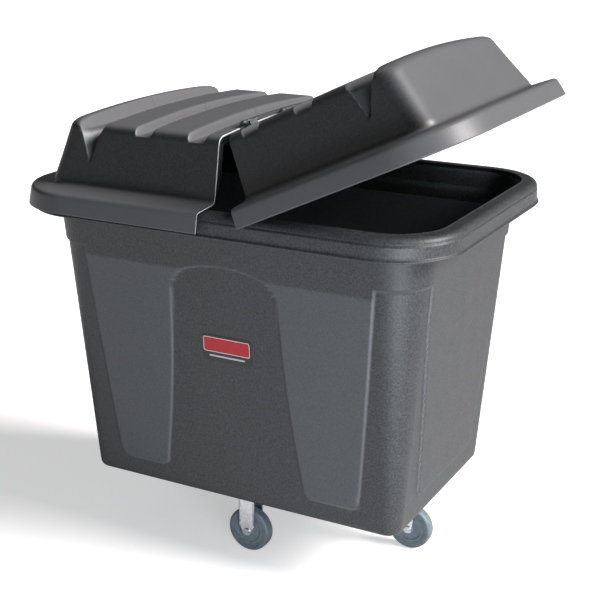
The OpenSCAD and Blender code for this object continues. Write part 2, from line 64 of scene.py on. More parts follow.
tub_lo, tub_hi = mm_box("tub")
lid_lo, lid_hi = mm_box("fixed_lid")
hinge = next(j for j in frame["joints"] if j["name"] == "lid_hinge")
HINGE_Z = hinge["pos_m"][2] * 1000
OPEN = -hinge["range_deg"][0]
print("tub", tub_lo.round(1), tub_hi.round(1), "lid", lid_lo.round(1), lid_hi.round(1),
      "hinge", round(HINGE_Z, 1), "open", OPEN)

# %% [markdown]
# ## From grid to mesh
# Every moulded skin here is a grid of points: rows follow the profile of the wall and columns
# run round the plan. A grid could be typed in as faces by hand, but as whole arrays the same
# three lines make any skin, closed round one way or open.
# %% grid helpers
def grid_faces(rows, cols, closed=False):
    """Quads of a grid whose point (i, j) has the number i * cols + j.
    Each quad joins (i, j), (i, j+1), (i+1, j+1) and (i+1, j); closed joins the last column to
    the first."""
    i, j = np.meshgrid(np.arange(rows - 1), np.arange(cols if closed else cols - 1), indexing="ij")
    k = (j + 1) % cols
    corners = [i * cols + j, i * cols + k, (i + 1) * cols + k, (i + 1) * cols + j]
    return np.stack(corners, -1).reshape(-1, 4)


def make_piece(name, points_mm, faces, body, material, replaces=(), smooth=True):
    """A mesh object from points in millimetres, at the origin, riding a CAD body."""
    mesh = bpy.data.meshes.new(name)
    mesh.from_pydata((np.asarray(points_mm) / 1000).tolist(), [], [list(f) for f in faces])
    mesh.polygons.foreach_set("use_smooth", [smooth] * len(mesh.polygons))
    mesh.update()
    piece = bpy.data.objects.new(name, mesh)
    bpy.context.scene.collection.objects.link(piece)
    piece.data.materials.append(material)
    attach(piece, body)
    if replaces:
        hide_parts(*replaces)
    print(f"{name}: {len(mesh.vertices)} points, {len(mesh.polygons)} faces")
    return piece


def step(x):
    """Smooth step of x from 0 to 1: 3x^2 - 2x^3, flat outside."""
    t = np.clip(x, 0, 1)
    return t * t * (3 - 2 * t)


def soft_min(a, b, r):
    """Smaller of a and b, rounded over a width r where they meet: the smaller one less
    a quarter of r times the square of how close they are."""
    h = np.clip(1 - np.abs(a - b) / r, 0, 1)
    return np.minimum(a, b) - h * h * r / 4


# %% [markdown]
# ## Materials
# Moulded polyethylene is a waxy black plastic: it reflects softly, and its mould grain breaks
# the reflection into fine sparkle. A painted colour would look like paper, so the grain is a
# bump of real scale with a little variation in colour and gloss.
# %% colour and node helpers
def srgb(code, alpha=1.0):
    """A linear colour from an sRGB hex value."""
    c = np.array([int(code[i:i + 2], 16) / 255 for i in (1, 3, 5)])
    lin = np.where(c <= 0.04045, c / 12.92, ((c + 0.055) / 1.055) ** 2.4)
    return (*lin.tolist(), alpha)


def new_material(name):
    material = bpy.data.materials.new(name)
    material.use_nodes = True
    tree = material.node_tree
    return material, tree, tree.nodes["Principled BSDF"]


def add(tree, kind, settings=None, **links):
    """Adds a node. Settings name properties or inputs; links name inputs and give a socket
    or a constant. A number in a key, as in in0, means that input by its place."""
    node = tree.nodes.new(kind)
    for key, value in (settings or {}).items():
        setattr(node, key, value)
    for key, value in links.items():
        socket = node.inputs[int(key[2:])] if key[:2] == "in" and key[2:].isdigit() else \
            node.inputs[key.replace("_", " ")]
        if isinstance(value, bpy.types.NodeSocket):
            tree.links.new(value, socket)
        else:
            socket.default_value = value
    return node


def ramp(tree, factor, stops):
    """A colour ramp through (position, colour) stops."""
    node = add(tree, "ShaderNodeValToRGB", Fac=factor)
    points = node.color_ramp.elements
    while len(points) < len(stops):
        points.new(0.5)
    for point, (place, colour) in zip(points, stops):
        point.position, point.color = place, colour
    return node.outputs["Color"]


def noise(tree, size_mm, detail=2.0, rough=0.5):
    """Noise whose blotches are about size_mm across, in object space."""
    where = add(tree, "ShaderNodeTexCoord").outputs["Object"]
    return add(tree, "ShaderNodeTexNoise", Vector=where, Scale=1000 / size_mm, Detail=detail,
               Roughness=rough).outputs["Fac"]


def math_node(tree, operation, a, b=0.0, c=0.0):
    return add(tree, "ShaderNodeMath", {"operation": operation}, in0=a, in1=b, in2=c).outputs[0]


def mix_colour(tree, factor, a, b):
    return add(tree, "ShaderNodeMix", {"data_type": "RGBA"}, in0=factor, in6=a, in7=b).outputs[2]


# %% moulded polyethylene
def moulded_polyethylene(name, dark, light, grain_mm=4.0, grain_depth=0.0003, gloss=0.42,
                         lit_colour=None, mask_name="panel", most=0.3):
    """Rotationally moulded polyethylene: waxy, IOR 1.51, with mould grain of grain_mm.
    The real grain is about 0.6 mm, drawn coarser so that it shows. Faces inside the named
    mask tend, by the share most, to a paler colour that is painted light. The points' "edge"
    attribute marks where a pale highlight is painted along edges."""
    material, tree, shader = new_material(name)
    broad = noise(tree, 60, 3)
    fine = noise(tree, grain_mm, 1.5, 0.6)
    speckle = math_node(tree, "MULTIPLY_ADD", fine, 1.3, -0.25)
    blend = math_node(tree, "MULTIPLY_ADD", broad, 0.18, speckle)
    body = ramp(tree, blend, [(0.2, srgb(dark)), (0.8, srgb(light))])
    rough = math_node(tree, "MULTIPLY_ADD", broad, 0.14, gloss)
    # painted light: faces inside the mask are painted towards a paler, lit colour
    if lit_colour:
        mask = add(tree, "ShaderNodeAttribute", {"attribute_name": mask_name}).outputs["Fac"]
        body = mix_colour(tree, mask, body, mix_colour(tree, most, body, srgb(lit_colour)))
        rough = math_node(tree, "MULTIPLY_ADD", mask, -0.05, rough)
    scuff = noise(tree, 9, 6, 0.75)
    marks = ramp(tree, scuff, [(0.0, (0, 0, 0, 1)), (0.64, (0, 0, 0, 1)), (0.72, (1, 1, 1, 1))])
    faint = math_node(tree, "MULTIPLY", marks, 0.1)
    # the scuff marks are real wear; the edge attribute adds a painted highlight along relief edges
    # in the same pale colour
    edge = add(tree, "ShaderNodeAttribute", {"attribute_name": "edge"}).outputs["Fac"]
    faint = math_node(tree, "MAXIMUM", faint, math_node(tree, "MULTIPLY", edge, 0.3))
    tree.links.new(mix_colour(tree, faint, body, srgb("#a2a5a8")), shader.inputs["Base Color"])
    tree.links.new(math_node(tree, "MULTIPLY_ADD", faint, 0.6, rough), shader.inputs["Roughness"])
    shader.inputs["IOR"].default_value = 1.51
    bump = add(tree, "ShaderNodeBump", Strength=0.8, Distance=grain_depth, Height=fine)
    tree.links.new(bump.outputs["Normal"], shader.inputs["Normal"])
    return material


# painted light: the tub's raised side panels are painted paler, as if lit over shaded recesses
tub_plastic = moulded_polyethylene("moulded_polyethylene_tub", "#1b1e20", "#46494c",
                                   lit_colour="#74797d")
# painted light: the lid's faces turned up or to the ends, and its shelf and skirt, are painted
# paler
lid_plastic = moulded_polyethylene("moulded_polyethylene_lid", "#121416", "#2c2f32",
                                   lit_colour="#6a6b6e", mask_name="painted_light_mask", most=0.8)
# painted light: the inside is painted much paler than the outside plastic, standing in for light
# reaching into the tub
inside_painted_light = moulded_polyethylene("moulded_polyethylene_inside_painted_light", "#63676a", "#7d8184", gloss=0.5)
# painted highlight: the outer edge of the seam flange is painted near white, where light catches it
seam_edge_highlight = moulded_polyethylene("polyethylene_seam_edge_painted_highlight", "#b4b7b9", "#e2e3e4",
                                gloss=0.5)


# %% zinc, black steel, rubber and nylon
def plated_steel(name, colour, shade, roughness):
    """Zinc-plated pressed steel: a metal with a cloudy passivated film and fine handling marks."""
    material, tree, shader = new_material(name)
    cloud = noise(tree, 8, 4, 0.6)
    tree.links.new(ramp(tree, cloud, [(0.3, srgb(shade)), (0.7, srgb(colour))]),
                   shader.inputs["Base Color"])
    grime = noise(tree, 1.6, 5, 0.7)
    tree.links.new(math_node(tree, "MULTIPLY_ADD", grime, 0.25, roughness - 0.12),
                   shader.inputs["Roughness"])
    shader.inputs["Metallic"].default_value = 1.0
    bump = add(tree, "ShaderNodeBump", Strength=0.2, Distance=0.00005, Height=grime)
    tree.links.new(bump.outputs["Normal"], shader.inputs["Normal"])
    return material


def moulded(name, dark, light, roughness, ior, grain_mm=1.2, depth=0.00006):
    """A moulded rubber or plastic part: dull, with faint mottling and dust."""
    material, tree, shader = new_material(name)
    mottle = noise(tree, 14, 4, 0.65)
    tree.links.new(ramp(tree, mottle, [(0.3, srgb(dark)), (0.7, srgb(light))]),
                   shader.inputs["Base Color"])
    grain = noise(tree, grain_mm, 3, 0.6)
    tree.links.new(math_node(tree, "MULTIPLY_ADD", grain, 0.2, roughness - 0.1),
                   shader.inputs["Roughness"])
    shader.inputs["IOR"].default_value = ior
    bump = add(tree, "ShaderNodeBump", Strength=0.35, Distance=depth, Height=grain)
    tree.links.new(bump.outputs["Normal"], shader.inputs["Normal"])
    return material


zinc = plated_steel("zinc_plated_pressed_steel", "#dfe3e6", "#b9bec3", 0.32)
bolt = plated_steel("zinc_plated_bolt_steel", "#c9cdd1", "#9ea4a9", 0.36)
black_steel = plated_steel("black_passivated_steel", "#7c7f82", "#626568", 0.62)
rubber = moulded("moulded_grey_rubber", "#59656b", "#76838a", 0.5, 1.52)
hub_plastic = moulded("moulded_polyolefin_hub", "#657178", "#7f8c93", 0.42, 1.49)
nylon = moulded("turned_nylon", "#b9b5a5", "#d6d2c2", 0.4, 1.53)

# %% [markdown]
# ## The printed label
# The label is a dark printed film with a red bar in a light outline over a light line. It is
# a pattern in the film's own material, drawn with the distance to rounded boxes, so that its
# edges stay sharp at any size. The marks are generic and carry no lettering.
# %% label film
def box_distance(tree, across, up, half_w, half_h, radius):
    """Distance outside a rounded box, negative inside: the length of the part of
    (|x| - w + r, |z| - h + r) above zero, less r."""
    def beyond(place, half):
        size = math_node(tree, "ABSOLUTE", place)
        return math_node(tree, "MAXIMUM", math_node(tree, "SUBTRACT", size, half - radius), 0.0)

    qx, qz = beyond(across, half_w), beyond(up, half_h)
    squares = math_node(tree, "ADD", math_node(tree, "MULTIPLY", qx, qx),
                        math_node(tree, "MULTIPLY", qz, qz))
    length = math_node(tree, "SQRT", squares)
    return math_node(tree, "SUBTRACT", length, radius)


def printed_film(name, centre_z):
    material, tree, shader = new_material(name)
    where = add(tree, "ShaderNodeTexCoord").outputs["Object"]
    split = add(tree, "ShaderNodeSeparateXYZ", Vector=where)
    across = split.outputs["X"]
    up = math_node(tree, "SUBTRACT", split.outputs["Z"], centre_z)

    def inside(z, w, h, r):
        moved_z = math_node(tree, "SUBTRACT", up, z)
        return math_node(tree, "LESS_THAN", box_distance(tree, across, moved_z, w, h, r), 0.0)

    colour = mix_colour(tree, noise(tree, 5, 3), srgb("#1c1e20"), srgb("#26282b"))
    # outline, bar and line: height above the middle, half width, half height, corner, colour
    layers = [(0.0090, 0.0632, 0.0190, 0.005, "#e9e5e3"),
              (0.0090, 0.0614, 0.0172, 0.004, "#c3202c"),
              (-0.0195, 0.0480, 0.0022, 0.001, "#cfd1d2")]
    for z, w, h, r, code in layers:
        colour = mix_colour(tree, inside(z, w, h, r), colour, srgb(code))
    tree.links.new(colour, shader.inputs["Base Color"])
    wear = noise(tree, 3, 4)
    tree.links.new(math_node(tree, "MULTIPLY_ADD", wear, 0.15, 0.22), shader.inputs["Roughness"])
    shader.inputs["IOR"].default_value = 1.49
    return material


label_lo, label_hi = mm_box("label")
label_film = printed_film("printed_label_film", float(label_lo[2] + label_hi[2]) / 2000)

# %% [markdown]
# ## Tub
# The tub is one skin, so its whole section is one profile: out along the underside, up the
# leaning wall, out under the rolled rim, over the rim and down the inside. All its plan
# curves are offsets of one rounded rectangle, so the profile is given as distance in from
# the rim's edge and height. The raised panels are pushed out of the wall by a mask.
# %% tub sizes
HALF_L, HALF_W = (tub_hi[0] - tub_lo[0]) / 2, (tub_hi[1] - tub_lo[1]) / 2
RIM_TOP = tub_hi[2]
# sizes of the CAD model that the frame doesn't carry, with the plan radius a little tighter
RIM_H = 54.0
BODY_H = RIM_TOP - RIM_H
RIM_IN, DRAFT = 68.0, 59.5
RIM_R = 164.0
PANEL_UP = 5.5
BAND_Z = 617.0
PANEL_CORNER, ARCH_CORNER = 22.0, 45.0
LEG_FOOT_Z, END_FOOT_Z = 56.0, 70.0
ARCH_TOP, ARCH_SAG, ARCH_HALF = 614.0, 36.0, 146.0
LEGS_BELOW = 440.0
print("rim", HALF_L * 2, HALF_W * 2, "top", RIM_TOP)


def crowded(half, zones, fine, coarse):
    """Shares from -1 up to 1 of a half length: steps of fine inside the zones of |x|, and of
    coarse outside them."""
    marks = [0.0]
    while marks[-1] < half - fine / 2:
        near = any(a <= marks[-1] < b for a, b in zones)
        marks.append(marks[-1] + (fine if near else coarse))
    right = np.array(marks[:-1]) / half
    return np.concatenate([[-1.0], -right[:0:-1], right])


def rounded_loop(inset, along, n_corner, across, half_l=HALF_L, half_w=HALF_W, radius=RIM_R):
    """Closed plan loops, one row for each inset: a straight long side, a quarter circle, a
    straight end, and so on round. Along and across are the shares of the straight sides at
    which points lie. The radius shrinks with the inset, down to 12 mm."""
    inset = np.asarray(inset, float)[:, None]
    r = np.maximum(radius - inset, np.minimum(12.0, half_w - inset))
    sx, sy = half_l - inset - r, half_w - inset - r
    u, v = np.asarray(along)[None], np.asarray(across)[None]
    a = (np.linspace(0, 1, n_corner, endpoint=False) * math.pi / 2)[None]
    one = np.ones_like(inset)

    def corner(cx, cy, turn):
        return cx + r * np.cos(a + turn), cy + r * np.sin(a + turn)

    parts = [(u * sx, -(sy + r) * np.ones_like(u)), corner(sx, -sy, -math.pi / 2),
             ((sx + r) * np.ones_like(v), v * sy), corner(sx, sy, 0),
             (-u * sx, (sy + r) * np.ones_like(u)), corner(-sx, sy, math.pi / 2),
             (-(sx + r) * np.ones_like(v), -v * sy), corner(-sx, -sy, math.pi)]
    x = np.concatenate([p[0] * one for p in parts], 1)
    y = np.concatenate([p[1] * one for p in parts], 1)
    return x, y


def arc_points(cx, cz, r, start, end, n):
    """Points (inset, height) along an arc, with angles in degrees from the inset axis."""
    a = np.radians(np.linspace(start, end, n))
    return np.stack([cx + r * np.cos(a), cz + r * np.sin(a)], 1)


# %% tub outline: the raised panels
def rounded_inside(dx, dz, r):
    """Signed distance of a rounded quarter: the length of the positive part of
    (dx + r, dz + r), plus the larger one where both are negative, less r."""
    qx, qz = dx + r, dz + r
    return np.hypot(np.maximum(qx, 0), np.maximum(qz, 0)) + np.minimum(np.maximum(qx, qz), 0) - r


def side_relief(x, z):
    """How deep a point lies inside the raised parts of the long sides: two legs that lean
    inwards to the foot, joined over an arched field, under a band."""
    ax = np.abs(x)
    inner = 143 + 47 * np.clip((590 - z) / 505, 0, 1) ** 1.8
    outer = 335 + 49 * np.clip((z - 79) / 523, 0, 1.2) ** 0.9
    middle, half = (inner + outer) / 2, (outer - inner) / 2
    legs = rounded_inside(np.abs(ax - middle) - half, LEG_FOOT_Z - z, PANEL_CORNER)
    arch = ARCH_TOP - ARCH_SAG * (ax / ARCH_HALF) ** 2
    field = rounded_inside(ax - inner, z - arch, ARCH_CORNER)
    upper = np.maximum(-field, ax - outer)
    return np.where(z < LEGS_BELOW, legs, upper)


def end_relief(y, z):
    """The same for the ends: one field that widens upwards."""
    half = 170 + 60 * np.clip((z - 80) / 440, 0, 1) ** 1.2
    return rounded_inside(np.abs(y) - half, END_FOOT_Z - z, PANEL_CORNER)


# %% tub skin
lean = DRAFT / BODY_H
wall_z = np.concatenate([np.arange(20, 110, 4.5), np.arange(110, 540, 15), np.arange(540, 640, 3.6),
                         np.arange(640, BODY_H - 4, 9)])
base_inset = RIM_IN + DRAFT
foot_r = 14.0
outside = np.concatenate([
    np.stack([np.linspace(HALF_W - 0.5, base_inset + foot_r + 2, 7), np.zeros(7)], 1),
    arc_points(base_inset + foot_r, foot_r, foot_r, 270, 180, 7) - [0.6, 0],
    np.stack([base_inset - lean * wall_z, wall_z], 1)])
under = np.array([[RIM_IN + 0.3, BODY_H - 3], [RIM_IN - 3, BODY_H + 8],
                  [RIM_IN - 9, BODY_H + 24], [RIM_IN - 15, BODY_H + 38],
                  [RIM_IN - 19, BODY_H + 44], [RIM_IN - 24, BODY_H + 47],
                  [30, BODY_H + 48], [20, BODY_H + 47], [12.5, BODY_H + 42], [10, BODY_H + 34],
                  [10, BODY_H + 20], [10, BODY_H + 8], [9.2, BODY_H + 1]])
bead = np.concatenate([arc_points(3.2, BODY_H + 3.2, 3.2, 290, 110, 8), [[3.4, BODY_H + 7.5]]])
face = np.stack([np.linspace(4.0, 5.0, 6), np.linspace(BODY_H + 9, RIM_TOP - 16, 6)], 1)
crown = arc_points(21, RIM_TOP - 16, 16, 180, 90, 11)
top = np.array([[27, RIM_TOP], [34, RIM_TOP - 0.1], [38.5, RIM_TOP - 0.2]])
ridge = arc_points(42.3, RIM_TOP - 1.6, 2.7, 150, -20, 7)
throat = np.array([[45.6, RIM_TOP - 6], [49, RIM_TOP - 16], [58, RIM_TOP - 36], [70, BODY_H],
                   [RIM_IN + 6, BODY_H - 8]])
inner_z = np.linspace(BODY_H - 30, 30, 12)
inner_wall = np.stack([base_inset + 6 - lean * inner_z, inner_z], 1)
floor = np.concatenate([arc_points(base_inset + 24, 24, 18, 180, 270, 7),
                        np.stack([np.linspace(base_inset + 40, HALF_W - 0.5, 5),
                                  np.full(5, 6.0)], 1)])
profile = np.concatenate([outside, under, bead, face, crown, top, ridge, throat, inner_wall, floor])
along = crowded(HALF_L - RIM_R, [(138, 200), (328, 392)], 2.7, 9.0)
across = crowded(HALF_W - RIM_R, [(160, 234)], 3.0, 9.0)
print("points along", len(along), "across", len(across), "rows", len(profile))
px, py = rounded_loop(profile[:, 0], along, 13, across)
pz = profile[:, 1][:, None] * np.ones_like(px)

is_wall = np.zeros(len(profile), bool)
is_wall[7:len(outside)] = True
straight_x = HALF_L - RIM_R
straight_y = HALF_W - RIM_R
on_side = (np.abs(px) <= straight_x + 1) & (np.abs(py) > straight_y)
on_end = (np.abs(py) <= straight_y + 1) & (np.abs(px) > straight_x)
band = BAND_Z - pz
depth = np.where(on_side, np.minimum(side_relief(px, pz), band),
                 np.where(on_end, np.minimum(end_relief(py, pz), band), band))
mask = step(0.5 - depth / 6.0) * is_wall[:, None] * step((BODY_H + 4 - pz) / 12)
length = np.maximum(np.hypot(px, py), 1)
cx = np.clip(px, -straight_x, straight_x)
cy = np.clip(py, -straight_y, straight_y)
nx, ny = px - cx, py - cy
scale = np.maximum(np.hypot(nx, ny), 1e-6)
px = px + PANEL_UP * mask * nx / scale
py = py + PANEL_UP * mask * ny / scale
tub_points = np.stack([px, py, pz], -1).reshape(-1, 3)
tub_faces = grid_faces(*px.shape, closed=True)
centre = len(tub_points)
tub_points = np.concatenate([tub_points, [[0, 0, 0], [0, 0, 6.0]]])
cols = px.shape[1]
j = np.arange(cols)
last = (px.shape[0] - 1) * cols
all_faces = tub_faces.tolist()
all_faces += [[int(b), int(a), centre] for a, b in zip(j, (j + 1) % cols)]
all_faces += [[int(last + a), int(last + b), centre + 1] for a, b in zip(j, (j + 1) % cols)]
tub = make_piece("tub_shell", tub_points, all_faces, "truck", tub_plastic, ["tub"])
panel = tub.data.attributes.new("panel", "FLOAT", "POINT")
# painted light: the raised panels of the long sides, below 600 mm, are painted paler than the
# recesses
panel_painted_light = mask * step((600 - pz) / 10) * on_side
panel.data.foreach_set("value", np.concatenate([panel_painted_light.reshape(-1), [0, 0]]).astype(np.float32))
edge = tub.data.attributes.new("edge", "FLOAT", "POINT")
# painted highlight: the sloping edges of the raised panels are painted paler
painted_edge_highlight = (4 * mask * (1 - mask) * is_wall[:, None]).reshape(-1)
edge.data.foreach_set("value", np.concatenate([painted_edge_highlight, [0, 0]]).astype(np.float32))
# the inside faces take the paler copy of the plastic, which is painted light
tub.data.materials.append(inside_painted_light)
inside_row = len(profile) - len(floor) - len(inner_wall)
slots = np.zeros(len(tub.data.polygons), np.int32)
slots[inside_row * cols:len(tub_faces)] = 1
slots[len(tub_faces) + cols:] = 1
tub.data.polygons.foreach_set("material_index", slots)

# %% [markdown]
# ## Caster pads
# Each caster plate sits on a low moulded pad. A pad is a rounded slab that shares the tub's
# plastic, so it is one short profile swept round the plate's outline.
# %% pads
PAD_LOW = -1.5


def pad(name, plate, low):
    """A rounded slab a little larger than the plate, from the underside down to low."""
    lo, hi = mm_box(plate)
    mid, half = (lo + hi) / 2, (hi - lo) / 2 + 3
    rows = np.array([[half[1] - 1, low], [1.0, low], [0.0, low + 0.8], [-0.6, 1.0]])
    sides = np.linspace(-1, 1, 4, endpoint=False)
    x, y = rounded_loop(rows[:, 0], sides, 6, sides, half[0], half[1], 9.0)
    z = rows[:, 1][:, None] * np.ones_like(x)
    points = np.stack([x + mid[0], y + mid[1], z], -1).reshape(-1, 3)
    faces = grid_faces(*x.shape, closed=True).tolist() + [list(range(x.shape[1]))[::-1]]
    return make_piece(name, points, faces, "truck", tub_plastic)


for caster, plate in (("front", "fork"), ("back", "fork"), ("left", "plate"), ("right", "plate")):
    pad(f"{caster}_pad", f"{caster}_{plate}", PAD_LOW)

# %% [markdown]
# ## Lid halves
# A lid half is a tray turned upside down: a skirt that hangs outside the rim, a shelf, a
# dome with leaning walls and a crowned roof. Its rows are U-shaped plan curves that start
# and end at the seam. The channels and the pointed gullies are heights that the skin is
# not allowed to pass, blended with a soft minimum, which rounds every edge as a mould does.
# The roof, the ends, the shelf and the skirt are painted paler, which is painted light, and
# the dome's long sides keep their dark mould colour: a mask carries that to the material.
# %% lid sizes
LID_HL, LID_HW = -lid_lo[0], lid_hi[1]
SEAM = -lid_hi[0]
SKIRT_Z = lid_lo[2]
SKIRT_H, DOME_H = 46.0, 152.0
SHELF_Z = SKIRT_Z + SKIRT_H
ROOF_EDGE = SHELF_Z + DOME_H
CROWN, HUMP = 12.0, 5.0
SHELF_IN = 85.0
SIDE_LEAN, END_LEAN = math.tan(math.radians(10)), math.tan(math.radians(18.5))
LID_T = 4.5
# the columns run straight to FLAT_END, and every row has them at the same x up to TRUE_TO
TRUE_TO, FLAT_END = 300.0, 404.0
# each channel: middle, half width, depth, and how far its leaning side runs
CHANNELS = [(0.118 * LID_HL, 20.5, 18.0, 4.5), (0.373 * LID_HL, 20.5, 18.0, 4.5),
            (0.633 * LID_HL, 29.0, 18.5, 7.0)]
GULLY_X, GULLY_TIP = 0.633 * LID_HL, SHELF_Z + 62
print("lid half", LID_HL, LID_HW, "seam", SEAM, "shelf", SHELF_Z, "roof edge", ROOF_EDGE)

# %% lid profile
SHOULDER = 20.0
FILLET = 15.0


def lid_rows():
    """Rows of the lid from the skirt's hem, round the bend and over the shelf, to the fillet at
    the foot of the dome wall: inset and height."""
    hem = [(0.0, SKIRT_Z), (0.6, SKIRT_Z + 3), (3.0, SKIRT_Z + 16), (5.5, SKIRT_Z + 30)]
    bend = arc_points(18.5, SHELF_Z - 12, 12, 172, 100, 7)
    shelf = [(30, SHELF_Z + 0.8), (42, SHELF_Z + 1.8), (56, SHELF_Z + 2.9), (66, SHELF_Z + 3.7)]
    fillet = [(SHELF_IN - FILLET + FILLET * math.sin(a), SHELF_Z + 4 + FILLET * (1 - math.cos(a)))
              for a in np.radians(np.linspace(0, 72, 7))]
    return np.array(hem + bend.tolist() + shelf + fillet)


low_rows = lid_rows()
wall_share = np.linspace(0, 1, 27)[1:]
shoulder_angle = np.radians(np.linspace(10, 88, 9)[1:])
roof_share = np.concatenate([np.linspace(0, 0.32, 19)[1:], np.linspace(0.32, 1, 13)[1:]])


def lid_columns():
    """Shares along the straight stretch, closer together at the channel walls."""
    edges = np.array([c[0] + s * (c[1] + 1.5 + c[3] * k) for c in CHANNELS for s in (-1, 1)
                      for k in (-0.6, -0.1, 0.35, 0.75, 1.2)])
    xs = np.concatenate([np.linspace(SEAM, TRUE_TO, 40), np.linspace(TRUE_TO, FLAT_END, 24),
                         edges])
    xs = np.sort(xs[(xs >= SEAM) & (xs <= FLAT_END)])
    keep = np.concatenate([[True], np.diff(xs) > 1.1])
    xs = xs[keep]
    return (xs - SEAM) / (FLAT_END - SEAM)


def u_loops(half_l, half_w, rx, ry, share, n_corner=16, n_end=25):
    """Open U-shaped plan curves from the seam round the end and back to the seam: straight,
    quarter ellipse, straight, quarter ellipse, straight. Up to TRUE_TO every row has its
    points at the same x, so that the channels' walls run true; past it they are spread."""
    half_l, half_w, rx, ry = (np.asarray(v, float)[:, None] for v in (half_l, half_w, rx, ry))
    one = np.ones_like(half_l)
    sx = half_l - rx
    sy = half_w - ry
    along = SEAM + share[None] * (FLAT_END - SEAM)
    spread = TRUE_TO + (along - TRUE_TO) * (sx - TRUE_TO) / (FLAT_END - TRUE_TO)
    along = np.where(along <= TRUE_TO, along, spread)
    a = np.radians(np.linspace(0, 90, n_corner + 1))[None, 1:]
    v = np.linspace(-1, 1, n_end)[None, 1:-1]
    x1, y1 = along, -half_w * np.ones_like(along)
    x2, y2 = sx + rx * np.sin(a), -(sy + ry * np.cos(a))
    x3, y3 = half_l * np.ones_like(v), v * sy
    x = np.concatenate([x1, x2, x3 * one, x2[:, ::-1], x1[:, ::-1]], 1)
    y = np.concatenate([y1, y2, y3, -y2[:, ::-1], -y1[:, ::-1]], 1)
    return x, y


# %% lid skin
def roof_height(x, y):
    """The roof before channels: a shallow arch across, with the end hump a little higher."""
    half = LID_HW - SHELF_IN - DOME_H * SIDE_LEAN
    arch = CROWN * (1 - np.clip(np.abs(y) / half, 0, 1.05) ** 2)
    return ROOF_EDGE + arch + HUMP * step((x - GULLY_X - 10) / 26)


def cut_height(x, y):
    """Highest height the channels and gullies leave: each channel is a flat floor with
    leaning sides; each gully is a V whose valley climbs inwards from its tip, and ends
    below it."""
    top = np.full_like(x, 1e4)
    for at, half, deep, run in CHANNELS:
        wall = np.maximum(np.abs(x - at) - half, 0) * deep / run
        top = np.minimum(top, ROOF_EDGE - deep + wall)
    tip_y = LID_HW - SHELF_IN - (GULLY_TIP - SHELF_Z) * SIDE_LEAN
    valley = GULLY_TIP + 0.9 * (tip_y - np.abs(y)) + 2.35 * np.abs(x - GULLY_X)
    valley = valley + 500 * step((np.abs(y) - tip_y - 8) / 12)
    return soft_min(top, valley, 6.0)


def lid_half_grid():
    """Points of one closed half, reaching from the seam towards +X, as rows and columns."""
    o_low, z_low = low_rows[:, 0], low_rows[:, 1]
    z0 = z_low[-1]
    wall_top = ROOF_EDGE - SHOULDER
    z_wall = z0 + wall_share * (wall_top - z0)
    rise = z_wall - z0
    o0 = o_low[-1]
    ox_wall, oy_wall = o0 + rise * END_LEAN, o0 + rise * SIDE_LEAN
    turn = SHOULDER * (1 - np.cos(shoulder_angle))
    ox_sh = ox_wall[-1] + turn * 1.6 + 2.5 * shoulder_angle
    oy_sh = oy_wall[-1] + turn + shoulder_angle
    z_sh = wall_top + SHOULDER * np.sin(shoulder_angle)
    left_x = LID_HL - ox_sh[-1] - FLAT_END
    ox_roof = ox_sh[-1] + roof_share * left_x
    oy_roof = oy_sh[-1] + roof_share * (LID_HW - oy_sh[-1] - 0.4)
    z_roof = np.full(len(roof_share), ROOF_EDGE)
    ox = np.concatenate([o_low, ox_wall, ox_sh, ox_roof])
    oy = np.concatenate([o_low, oy_wall, oy_sh, oy_roof])
    z = np.concatenate([z_low, z_wall, z_sh, z_roof])
    n_low = len(o_low)
    r_low = np.interp(o_low, [0, 20, SHELF_IN - FILLET, SHELF_IN], [178, 158, 92, 46])
    r_wall = 46 + 4 * wall_share
    r_sh = 50 + 8 * np.sin(shoulder_angle) - turn * 0.3
    rx_roof = r_sh[-1] * (1 - roof_share) + 1.5 * roof_share
    hw_roof = LID_HW - oy_roof
    ry_roof = np.minimum(r_sh[-1] * (1 - 0.6 * roof_share), hw_roof * 0.9)
    rx = np.concatenate([r_low, r_wall, r_sh, rx_roof])
    ry = np.concatenate([r_low, r_wall, r_sh, ry_roof])
    x, y = u_loops(LID_HL - ox, LID_HW - oy, rx, ry, lid_columns())
    zz = z[:, None] * np.ones_like(x)
    roof = roof_height(x, y)
    share = np.zeros(len(z))
    share[n_low:n_low + len(z_wall)] = wall_share ** 2
    share[n_low + len(z_wall):] = 1
    zz = zz + share[:, None] * (roof - ROOF_EDGE)
    zz = soft_min(zz, cut_height(x, y), 5.0)
    return np.stack([x, y, zz], -1), n_low


def vertex_normals(grid):
    """Unit normals of a grid: the cross product of its steps along columns and rows."""
    du = np.gradient(grid, axis=1)
    dv = np.gradient(grid, axis=0)
    n = np.cross(du, dv)
    return n / np.maximum(np.linalg.norm(n, axis=-1, keepdims=True), 1e-9)


outer, n_low = lid_half_grid()
normals = vertex_normals(outer)
print("lid grid", outer.shape, "a skirt normal", normals[5, 5].round(2))

